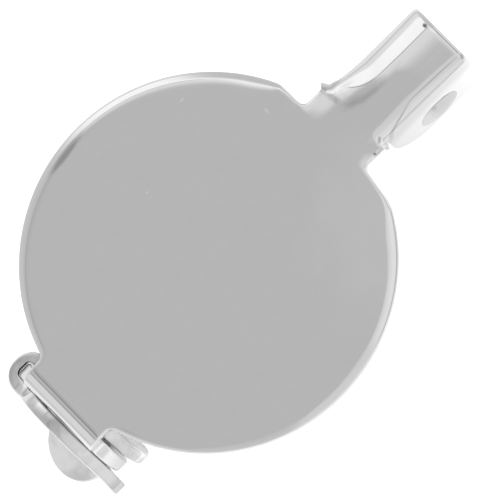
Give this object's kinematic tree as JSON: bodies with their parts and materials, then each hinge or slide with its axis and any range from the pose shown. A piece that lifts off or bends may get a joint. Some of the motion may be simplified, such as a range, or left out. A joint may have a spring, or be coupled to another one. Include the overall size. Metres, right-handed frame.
{
  "type": "brooch pin back",
  "caption": "Round glue-on pad with a hinged pin stem behind it and a turning safety lock on a round catch plate.",
  "frame": {"origin": "centre of the pad's flat face", "axes": "+Z out of the pad's face, +X from the catch to the hinge"},
  "size_m": [0.0229, 0.015, 0.0056],
  "materials": {
    "plated_sheet": "bright silver plate on brass sheet",
    "plated_rivet": "bright silver plate, peened ends",
    "plated_wire": "bright plated steel wire",
    "plated_lock": "bright silver plate on brass sheet"
  },
  "bodies": {
    "pad": {"pad_plate": "plated_sheet", "hinge_rivet": "plated_rivet"},
    "pin": {"pin_stem": "plated_wire"},
    "lock": {"catch_lock": "plated_lock"}
  },
  "joints": [
    {"name": "pin_swing", "type": "hinge", "parent": "pad", "child": "pin", "pos_m": [0.01064, 0, -0.0031], "axis": [0, -1, 0], "range_deg": [0, 120]},
    {"name": "lock_turn", "type": "hinge", "parent": "pad", "child": "lock", "pos_m": [-0.0085, 0, -0.0031], "axis": [-1, 0, 0], "range_deg": [0, 50]}
  ]
}
